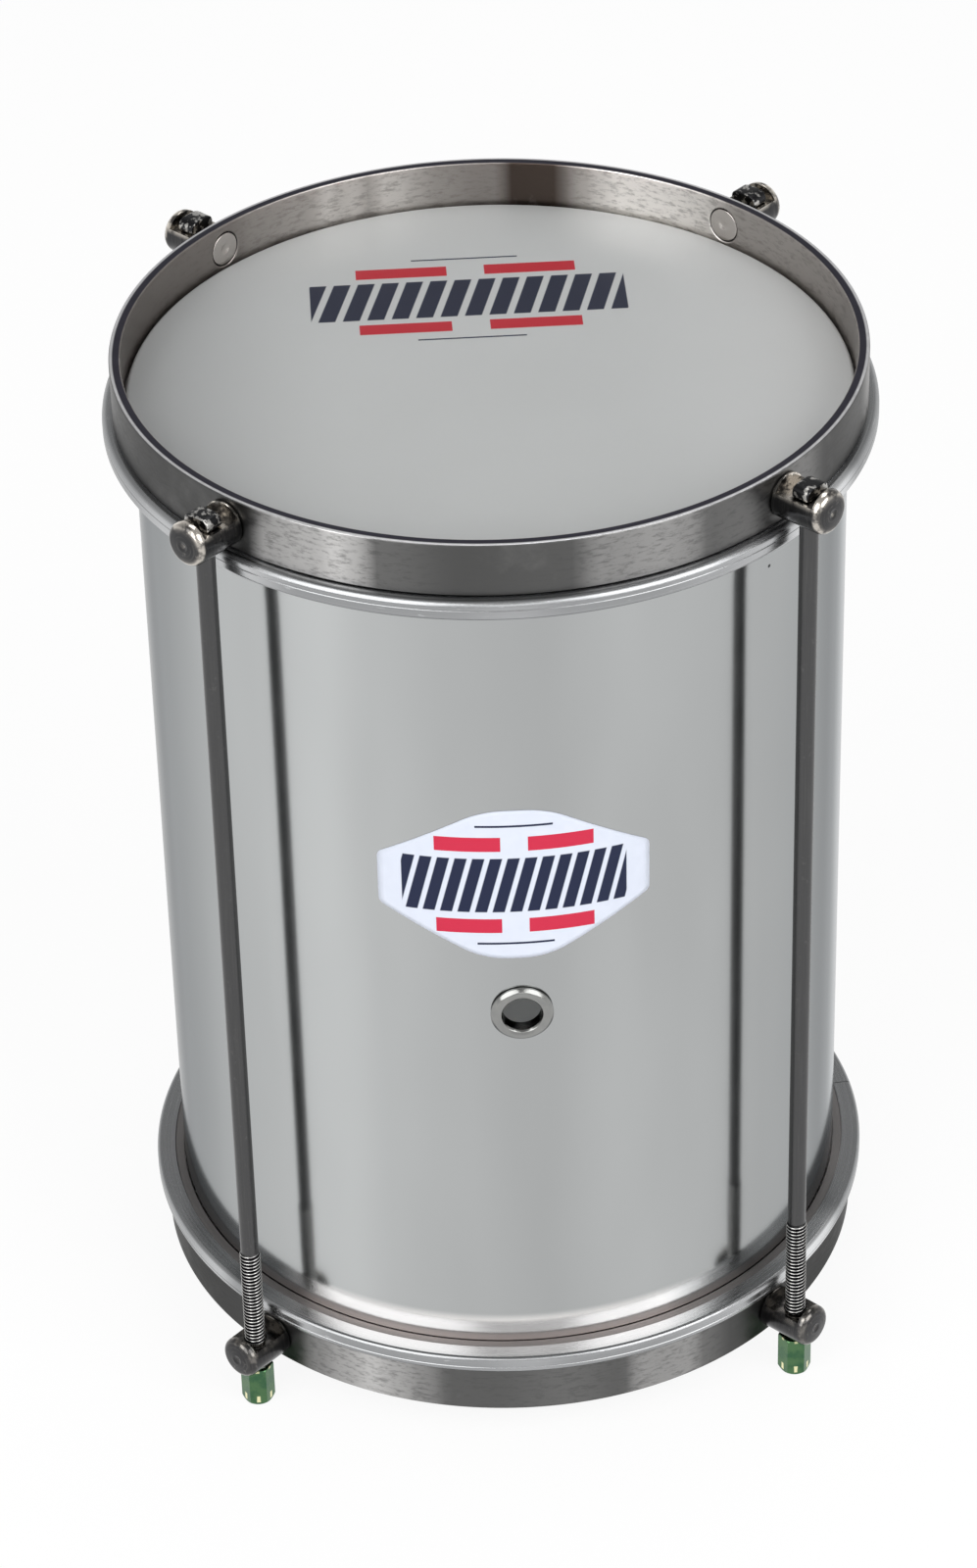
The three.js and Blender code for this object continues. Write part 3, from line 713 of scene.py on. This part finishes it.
# %% Make the vent's eyelet
BARREL, BORE, FLANGE, DOME = 6.4, 5.6, 9.0, 1.8
seat, inner_seat = SHELL_RADIUS + 0.3, -vent_high[1] + 0.8
eyelet = rounded([
    (7.8, inner_seat - 0.8), (7.8, inner_seat), (BARREL, inner_seat), (BARREL, seat),
    (FLANGE, seat), (FLANGE, seat + 0.55), (8.1, seat + 1.5), (7.0, seat + DOME),
    (6.0, seat + 1.35), (BORE, seat + 0.7), (BORE, inner_seat - 0.8)],
    [0.2, 0.1, 0.05, 0.05, 0.05, 0.25, 0.9, 0.5, 0.5, 0.3, 0.2], steps=4)
eyelet = np.concatenate([eyelet, eyelet[:1]])
spin = np.linspace(0, TURN, 97)
out = np.outer(eyelet[:, 1], np.ones_like(spin))
points = np.stack([np.outer(eyelet[:, 0], np.cos(spin)), -out,
                   VENT_LEVEL + np.outer(eyelet[:, 0], np.sin(spin))], -1)
vent = make_piece("vent_eyelet", [(points, chart_of(spin * 7, run_along(eyelet)), None)],
                  vent_finish, "drum")
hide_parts("vent_grommet")

# %% [markdown]
# ## The label
# A vinyl label is stuck on the shell above the vent. It is a thin sheet, tall in the middle and
# narrow at its ends, wrapped round the wall: rings of points shrink from its rounded outline to
# its middle. Solidify lifts its face a tenth of a millimetre, so that its edge catches the light.

# %% Make the label
HALF_LENGTH, HALF_HEIGHT, END_HEIGHT, BROW = 39.0, 25.5, 8.5, 9.0
upper_half = [
    (HALF_LENGTH, END_HEIGHT), (BROW, HALF_HEIGHT), (-BROW, HALF_HEIGHT), (-HALF_LENGTH, END_HEIGHT)]
outline = rounded(upper_half + [(-x, -y) for x, y in upper_half], [2.5, 26, 26, 2.5] * 2, steps=12)
outline = np.concatenate([outline, outline[:1]])
bends = run_along(outline)
even = np.linspace(0, bends[-1], 241)
outline = np.stack([np.interp(even, bends, outline[:, i]) for i in range(2)], -1)
share = np.linspace(0, 1, 21)[:, None]
arc, rise = share * outline[:, 0] - LABEL_SHIFT, share * outline[:, 1] + LABEL_LEVEL
label_radius = SHELL_RADIUS + 0.03
angle = arc / SHELL_RADIUS - math.pi / 2
points = np.stack([label_radius * np.cos(angle), label_radius * np.sin(angle), rise], -1)
label = make_piece("vinyl_label", [(points[::-1], np.stack([arc, rise], -1)[::-1], None)],
                   label_finish, "drum", closed=False)
vinyl = label.modifiers.new("vinyl", "SOLIDIFY")
vinyl.thickness, vinyl.offset = 0.12 * MM, 1

# %% [markdown]
# ## The heads
# Each head is film moulded like a lid: flat over the bearing edge, bent down close to the
# counterhoop, and turned out into the flesh hoop's groove. The lower head is the upper one turned
# over, so one function makes both: it counts heights from the shell's end outwards.

# %% Make the films
FILM, GAP, BEND, COLLAR = 0.4, 0.3, 1.2, 6.0
ends = {"batter": (SHELL_TOP, 1), "resonant": (SHELL_FOOT, -1)}


def outwards(profile, end):
    """Turns heights counted outwards from a shell end into levels on the drum."""
    level, side = ends[end]
    return np.asarray(profile, float) * [1, side] + [0, level]


def film_profile():
    """The film's section: a flat, a quarter turn of radius BEND, a straight collar, a flange."""
    swing = np.radians(np.linspace(90, 0, 10))[:, None]
    spoke = np.concatenate([np.cos(swing), np.sin(swing)], 1)
    wall, top = ALLOY_INNER - GAP, GAP + FILM
    centre = np.array([wall - BEND, top - BEND])
    under, over = centre + (BEND - FILM) * spoke, centre + BEND * spoke
    flange, middle = ALLOY_INNER + 1.7, top - COLLAR
    tail = [(wall - FILM, middle - FILM / 2), (flange, middle - FILM / 2),
            (flange, middle + FILM / 2), (wall, middle + FILM / 2)]
    flat = [(0, GAP), (40, GAP), (80, GAP)]
    return np.concatenate([flat, under, tail, over[::-1], np.array(flat[::-1]) + [0, FILM]])


angles = np.linspace(-math.pi, math.pi, 257)
for end, finish in (("batter", batter_finish), ("resonant", resonant_finish)):
    profile = outwards(film_profile(), end)
    grid = turned(profile, angles), chart_of(angles * 100, run_along(profile)), None
    film = make_piece(f"{end}_skin", [grid], finish, "drum")
    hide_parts(f"{end}_film")

# %% [markdown]
# ## The flesh hoops
# The film is held in a ring of drawn bar with soft corners and one fine line along its outer
# face. The ring is rolled from a straight bar, so its ends meet at a butt joint. The profile is
# therefore carried round almost a whole turn, and its two ends are closed with a flat face.

# %% Make the flesh hoops
ALLOY_HEIGHT, ALLOY_TOP = 6.0, -2.3
JOINTS = {"batter": 171.0, "resonant": 6.4}


def alloy_profile():
    """The bar's section: rounded outer corners, a fine line outside, the film's groove inside,
    and a ledge that reaches in towards the shell past the groove."""
    top, foot = ALLOY_TOP, ALLOY_TOP - ALLOY_HEIGHT
    groove, slot_foot, slot_top = ALLOY_INNER + 2.0, GAP + FILM - COLLAR - 0.5, GAP + FILM - COLLAR + 0.5
    return rounded([
        (SHELL_RADIUS + 0.15, foot + 0.2), (SHELL_RADIUS + LEDGE_END - 0.3, foot + 0.2),
        (SHELL_RADIUS + LEDGE_END, foot),
        (ALLOY_RADIUS, foot), (ALLOY_RADIUS, top - 2.85),
        (ALLOY_RADIUS - 0.22, top - 2.65), (ALLOY_RADIUS, top - 2.45), (ALLOY_RADIUS, top),
        (ALLOY_INNER, top), (ALLOY_INNER, slot_top), (groove, slot_top), (groove, slot_foot),
        (ALLOY_INNER, slot_foot), (ALLOY_INNER, foot + 1.6)],
        [0.05, 0.1, 0.15, 1.4, 0.08, 0.08, 0.08, 2.2, 0.5, 0.05, 0.05, 0.05, 0.05, 0.3])


for end in ends:
    profile = alloy_profile()
    profile = outwards(np.concatenate([profile, profile[:1]]), end)
    joint, slit = math.radians(JOINTS[end]), 0.12 / ALLOY_RADIUS
    angles = np.linspace(joint + slit, joint + TURN - slit, 385)
    grid = turned(profile, angles), chart_of(angles * ALLOY_RADIUS, run_along(profile)), None
    first = np.arange(len(profile) - 1) * len(angles)
    hoop = make_piece(f"{end}_alloy_hoop", [grid], alloy_finish, "drum",
                      caps=[first[::-1], first + len(angles) - 1])
    hoop.modifiers.new("flat faces", "WEIGHTED_NORMAL").keep_sharp = True
    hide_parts(f"{end}_flesh_hoop")

# %% [markdown]
# ## The counterhoops
# A counterhoop is flat bar rolled on edge and welded. Its outer wall is a grid with four round
# holes. Solidify gives the bar its thickness inwards, and a small bevel breaks its edges.

# %% Make the counterhoops
angles = np.radians(np.linspace(-180, 180, 385))
STUD_LEVEL = {}
for end, finish in (("batter", batter_strap_finish), ("resonant", resonant_strap_finish)):
    low, high = box_mm(f"{end}_counterhoop")
    levels = np.linspace(low[2], high[2], 11)
    STUD_LEVEL[end] = (low[2] + high[2]) / 2
    profile = np.stack([np.full(11, STRAP_RADIUS), levels], -1)
    kept = np.ones((10, 384), bool)
    patches = []
    for degrees in CORNERS.values():
        column = round((degrees + 180) / 360 * 384)
        kept[:, column - 5:column + 5] = False
        patches.append(ring_patch(angles, levels, (column - 5, column + 5, 0, 10), STRAP_RADIUS, 5.35))
    wall = turned(profile, angles), chart_of(angles * STRAP_RADIUS, levels), kept
    strap = make_piece(
        f"{end}_strap_hoop", [wall, *patches], finish, "drum", closed=False)
    bar = strap.modifiers.new("bar", "SOLIDIFY")
    bar.thickness, bar.offset = STRAP_THICKNESS * MM, -1
    soften(strap, 0.4)
    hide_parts(f"{end}_counterhoop")

# %% [markdown]
# ## The studs
# Each stud is turned from round bar: a tail riveted through the counterhoop, a round body, and
# a softly rounded end with a centre mark. A notch across the crown, nearly as long as the body,
# takes the rod's head, and the lower studs have a spot face below for the nut. In a section
# across the stud, a cut is a straight line at some height, so the surface there is
# height / sin(angle) from the axis, and the stud's radius is the lesser of that and the bar's own.
# The rod's hole is bored last.

# %% Work out a stud's surface
TAIL = 5.0
SEAT, LIP_ROUND, OPEN = STRAP_RADIUS + 0.3, 0.35, 60.0
NOTCH, SPOT_FACE = (SEAT + 0.8, STUD_END - 2.9), (ROD_CIRCLE - 6.07, ROD_CIRCLE + 6.07)
NOTCH_DEPTH, SPOT_DEPTH = {"batter": 3.4, "resonant": 2.8}, {"batter": 0.0, "resonant": 0.4}


def cut_height(x, start, end, floor):
    """How far from the stud's axis a flat cut leaves metal: the floor between start and end, a
    quarter-round lip just outside (STUD - lip + sqrt(lip^2 - t^2)), and no limit further out."""
    outside = np.maximum(start - x, x - end)
    t = np.clip(LIP_ROUND - outside, 0, LIP_ROUND)
    lip = STUD - LIP_ROUND + np.sqrt(LIP_ROUND ** 2 - t ** 2)
    return np.where(outside <= 0, floor, np.where(outside < LIP_ROUND, lip, OPEN))


def stud_grid(notch, spot):
    """The stud's surface in its own frame, X outwards and Z up. The notch and the spot face are
    depths below the crown and above the foot."""
    inner = STRAP_RADIUS - STRAP_THICKNESS
    outline = rounded([
        (inner + 0.5, 0), (inner + 0.12, 1.3), (inner, 1.8), (inner, TAIL), (SEAT, TAIL), (SEAT, STUD),
        (STUD_END - 0.35, STUD), (STUD_END, 1.6), (STUD_END - 0.12, 1.1), (STUD_END - 0.6, 0)],
        [0, 0.2, 0.3, 0.25, 0.05, 0.3, 2.1, 0.3, 0.2, 0], steps=7)
    lip = LIP_ROUND * (1 - np.cos(np.radians(np.linspace(0, 90, 6))))
    steps = [outline[:, 0][len(outline) // 2 - 1:len(outline) // 2 + 1]]
    for start, end in (NOTCH, SPOT_FACE):
        steps += [start - lip, end + lip, [start - 1e-3, start, end, end + 1e-3]]
    steps = np.concatenate(steps + [np.linspace(*NOTCH, 9)])
    body = (outline[:, 1] > STUD - 0.001)
    first, last = np.flatnonzero(body)[[0, -1]]
    steps = np.unique(np.round(steps[(steps > outline[first, 0]) & (steps < outline[last, 0])], 4))
    x = np.concatenate([outline[:first + 1, 0], steps, outline[last:, 0]])
    bar = np.concatenate([outline[:first + 1, 1], np.full(len(steps), STUD), outline[last:, 1]])
    cap, low = cut_height(x, *NOTCH, STUD - notch), cut_height(x, *SPOT_FACE, STUD - spot)
    cap[:first], low[:first] = OPEN, OPEN
    edge, heel = math.asin((STUD - notch) / STUD), math.asin((STUD - spot) / STUD)
    spin = np.concatenate([
        np.linspace(edge, math.pi - edge, 17)[:-1], np.linspace(math.pi - edge, math.pi + heel, 17)[:-1],
        np.linspace(math.pi + heel, TURN - heel, 9)[:-1], np.linspace(TURN - heel, TURN + edge, 17)])
    rise = np.sin(spin)
    above = cap[:, None] / np.maximum(rise, 1e-4)
    below = low[:, None] / np.maximum(-rise, 1e-4)
    radius = np.minimum(bar[:, None], np.minimum(above, below))
    points = np.stack([np.outer(x, np.ones_like(spin)), radius * np.cos(spin), radius * rise], -1)
    chart = chart_of(spin * STUD, run_along(np.stack([x, bar], -1)))
    return points, chart, None


def put_at(points, degrees, level=0.0):
    """Turns points from the front of +X to a corner of the drum and lifts them to a level."""
    a = math.radians(degrees)
    turn = np.array([[math.cos(a), math.sin(a), 0], [-math.sin(a), math.cos(a), 0], [0, 0, 1]])
    return points @ turn + [0, 0, level]


# %% Bore the rod's hole and make the eight studs
def bored(piece, middle, level, radius):
    """Takes an upright round bar out of a piece, and keeps the result as its mesh."""
    a = np.linspace(0, TURN, 49)
    bar = turned([(0, level - 12), (radius, level - 12), (radius, level + 12), (0, level + 12)], a)
    bar += [*middle, 0]
    drill = make_piece("drill", [(bar, np.zeros(bar.shape[:2] + (2,)), None)],
                       piece.data.materials[0], "drum")
    cut = piece.modifiers.new("bore", "BOOLEAN")
    cut.operation, cut.solver, cut.object = "DIFFERENCE", "EXACT", drill
    whole = piece.evaluated_get(bpy.context.evaluated_depsgraph_get())
    mesh = bpy.data.meshes.new_from_object(whole)
    piece.modifiers.remove(cut)
    piece.data = mesh
    mesh.set_sharp_from_angle(angle=math.radians(32))
    bpy.data.objects.remove(drill)


for end in ends:
    points, chart, kept = stud_grid(NOTCH_DEPTH[end], SPOT_DEPTH[end])
    for corner, degrees in CORNERS.items():
        grid = put_at(points, degrees, STUD_LEVEL[end]), chart, kept
        stud = make_piece(f"{end}_rivet_stud_{corner}", [grid], stud_finish, "drum", crease=32)
        middle = put_at(np.array([ROD_CIRCLE, 0, 0]), degrees)[:2]
        bored(stud, middle, STUD_LEVEL[end], ROD + GAP)
        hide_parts(f"{end}_stud_{corner}")

# %% [markdown]
# ## The rods
# A rod is drawn wire with a forged hammer head and a thread of 20 ridges to the inch. The thread
# is rolled, which raises its crests above the shank and sinks its roots below it. It is a wave in
# the radius: its phase is the height in pitches less the angle in turns, so that the crest climbs
# one pitch in a turn, to the right. The wave fades into the shank over its last pitch and a half.

# %% Work out a rod's surface
SHANK, DEPTH = 2.7, 0.78
HAMMER_HALF_LENGTH, HAMMER_HALF_WIDTH = 4.4, 2.8


def stem_grid(foot, top):
    """The stem: radius = shank + fade * (crest - shank - depth * hollow(phase)), where the hollow
    is a raised cosine with a narrowed crest, all held under a chamfer at the foot."""
    thread = np.arange(foot, THREAD_END, PITCH / 10)
    z = np.concatenate([[foot], thread, np.linspace(THREAD_END, top, 12)])
    spin = np.linspace(0, TURN, 33)
    phase = z[:, None] / PITCH - spin[None, :] / TURN
    hollow = (0.5 - 0.5 * np.cos(TURN * phase)) ** 0.8
    fade = np.clip((THREAD_END - z) / 1.8, 0, 1)
    fade = (fade * fade * (3 - 2 * fade))[:, None]
    radius = np.minimum(SHANK + fade * (ROD - SHANK - DEPTH * hollow), (2.3 + z - foot)[:, None])
    radius[0] = 0
    points = np.stack(
        [radius * np.cos(spin), radius * np.sin(spin), np.outer(z, np.ones_like(spin))], -1)
    return points, chart_of(spin * ROD, z), None


def hammer_grid(seat, top):
    """The head: a bar across the rod whose section is half a superellipse. Towards both flat
    sides the section shrinks along a quarter circle, which rounds their edges."""
    v = np.radians(np.linspace(0, 360, 73))
    tall = np.where(np.sin(v) > 0, top - seat - 0.3, 0.3)
    y = HAMMER_HALF_LENGTH * np.sign(np.cos(v)) * abs(np.cos(v)) ** 0.55
    z = tall * np.sign(np.sin(v)) * abs(np.sin(v)) ** 0.6
    swing = np.radians(np.linspace(0, 90, 6))
    shrink = np.concatenate([[0], 1 - 0.10 * (1 - np.sin(swing))])
    shift = HAMMER_HALF_WIDTH - np.concatenate([[0], 0.4 * (1 - np.cos(swing))])
    size = np.concatenate([shrink, shrink[::-1]])
    x = np.concatenate([-shift, shift[::-1]])
    points = np.stack(
        [np.outer(x, np.ones_like(v)), np.outer(size, y), np.outer(size, z) + seat + 0.3], -1)
    return points, chart_of(v * 4, run_along(np.stack([x, size * HAMMER_HALF_LENGTH], -1))), None


# %% Make the four rods
seat_level = STUD_LEVEL["batter"] + STUD - NOTCH_DEPTH["batter"] + GAP
for corner, degrees in CORNERS.items():
    low, high = box_mm(f"tension_rod_{corner}")
    middle = np.array([ROD_CIRCLE, 0, 0])
    grids = []
    for points, chart, kept in (stem_grid(low[2], seat_level + 2), hammer_grid(seat_level, high[2])):
        grids.append((put_at(points + middle, degrees), chart, kept))
    rod = make_piece(f"threaded_rod_{corner}", grids, rod_finish, f"rod_{corner}", crease=45)
    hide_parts(f"tension_rod_{corner}")

# %% [markdown]
# ## The nuts
# A long hexagon nut draws each rod down, and the drum stands on the four of them. The radius of
# a hexagon at an angle is its half width over the cosine of the angle from the nearest flat.
# The turned-off corners are cones, so the radius is the lesser of the hexagon's and the cone's.
# Each nut has stopped with a flat towards -Y.

# %% Make the nuts
FLAT, BORE_RADIUS = 4.37, ROD + GAP
FOOT_CHAMFER, TOP_CHAMFER = 0.9, 0.5
POINT = FLAT / math.cos(math.pi / 6)
spin = np.radians(np.arange(0, 361, 3.0))
flat_angle = np.mod(spin + math.pi / 6, math.pi / 3) - math.pi / 6
hexagon = FLAT / np.cos(flat_angle)
z = np.concatenate([[0], np.linspace(0, FOOT_CHAMFER, 6), [NUT_LENGTH / 2],
                    np.linspace(NUT_LENGTH - TOP_CHAMFER, NUT_LENGTH, 4), [NUT_LENGTH, 0]])
cone = np.minimum(POINT - FOOT_CHAMFER + z, POINT - TOP_CHAMFER + (NUT_LENGTH - z))[:, None]
radius = np.minimum(hexagon, cone)
radius[[0, -2, -1]] = BORE_RADIUS
length = run_along(np.stack([radius[:, 0], z], -1))
chart = chart_of(spin / (math.pi / 3) + 0.5, length)
for corner, degrees in CORNERS.items():
    facing = spin - math.pi / 2 - math.radians(degrees)
    points = np.stack(
        [radius * np.cos(facing), radius * np.sin(facing), np.outer(z, np.ones_like(spin))], -1)
    grid = put_at(points + [ROD_CIRCLE, 0, 0], degrees), chart, None
    nut = make_piece(f"hexagon_nut_{corner}", [grid], nut_finish, f"nut_{corner}", crease=20)
    soften(nut, 0.12, angle=20)
    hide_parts(f"tuning_nut_{corner}")

# %% [markdown]
# ## Floor and light
# The drum stands on a plain pale floor under soft studio light. To the camera and in reflections
# the floor is mostly a white glow, which makes the white background, and partly a matt surface,
# which keeps the drum's shadow. Metal shows what is round it, so the world is a plain room: pale
# walls at eye level and a greyer ceiling, which gives the polish its contrast.

# %% Floor
GLOW = 0.9

floor_finish, tree, shader = new_finish("pale_floor", Roughness=0.85)
where = place_on(tree)
speckle = noise(tree, where, 90, detail=4)
colour = mixed(tree, speckle, (0.90, 0.90, 0.90, 1), (0.94, 0.94, 0.94, 1))
tree.links.new(colour, shader.inputs["Base Color"])
path = tree.nodes.new("ShaderNodeLightPath").outputs
seen = sums(tree, "MAXIMUM", path["Is Camera Ray"], path["Is Glossy Ray"])
seen = sums(tree, "MAXIMUM", seen, path["Is Transmission Ray"])
glow = add(tree, "Emission", {"Color": (1, 1, 1, 1), "Strength": 1.0})
blend = add(tree, "MixShader", {0: sums(tree, "MULTIPLY", seen, GLOW), 1: shader.outputs[0], 2: glow})
target = next(n for n in tree.nodes if n.type == "OUTPUT_MATERIAL")
tree.links.new(blend, target.inputs["Surface"])
reach = np.linspace(-6, 6, 2) / MM
points = np.stack([*np.meshgrid(reach, reach), np.zeros((2, 2))], -1)
mesh = bpy.data.meshes.new("floor")
mesh.from_pydata((points.reshape(-1, 3) * MM).tolist(), [], cells(2, 2).tolist())
floor = bpy.data.objects.new("floor", mesh)
bpy.context.scene.collection.objects.link(floor)
floor.data.materials.append(floor_finish)

# %% World and lamps
world = bpy.data.worlds.new("studio")
world.use_nodes = True
bpy.context.scene.world = world
tree = world.node_tree
height = part(tree, tree.nodes.new("ShaderNodeTexCoord").outputs["Generated"], 2)
background = next(n for n in tree.nodes if n.type == "BACKGROUND")
background.inputs["Color"].default_value = (1, 1, 1, 1)
room = ramp(tree, height, [(0.0, 0.95), (0.12, 0.85), (0.45, 0.42), (1.0, 0.30)], smooth=False)
tree.links.new(room, background.inputs["Strength"])


def soft_lamp(name, place, aim, size, power):
    """A square area lamp at a place in metres that faces a point."""
    lamp = bpy.data.lights.new(name, "AREA")
    lamp.shape, lamp.size, lamp.energy = "SQUARE", size, power
    box = bpy.data.objects.new(name, lamp)
    box.location = place
    box.rotation_euler = (Vector(aim) - Vector(place)).to_track_quat("-Z", "Y").to_euler()
    bpy.context.scene.collection.objects.link(box)


soft_lamp("left_softbox", (-1.41, -1.56, 1.68), (0, 0, 0.15), 2.0, 40)
soft_lamp("right_softbox", (1.36, -1.48, 1.57), (0, 0, 0.15), 1.7, 30)
soft_lamp("front_softbox", (0.09, -2.05, 1.45), (0, 0, 0.15), 0.9, 3)
soft_lamp("top_softbox", (0.2, 0.7, 2.2), (0, 0, 0.2), 1.0, 8)

# %% [markdown]
# ## Camera
# The camera looks down at the drum from a little over a metre up. Its place, tilt and lens come
# from fitting the ellipses of the hoops and the heads in the photograph.

# %% Camera
eye = Vector((-57.5, -1233.76, 1042.82)) * MM
ahead = Vector((0.03572, 0.81442, -0.57917)).normalized()
right = Vector((0.99803, -0.05898, -0.02138))
right = (right - ahead * right.dot(ahead)).normalized()
upwards = right.cross(ahead)
lens = bpy.data.cameras.new("camera")
lens.sensor_width, lens.lens = 36, 116.2
camera = bpy.data.objects.new("camera", lens)
camera.matrix_world = Matrix((
    (right.x, upwards.x, -ahead.x, eye.x), (right.y, upwards.y, -ahead.y, eye.y),
    (right.z, upwards.z, -ahead.z, eye.z), (0, 0, 0, 1)))
bpy.context.scene.collection.objects.link(camera)
bpy.context.scene.camera = camera
bpy.context.scene.view_settings.view_transform = "Standard"
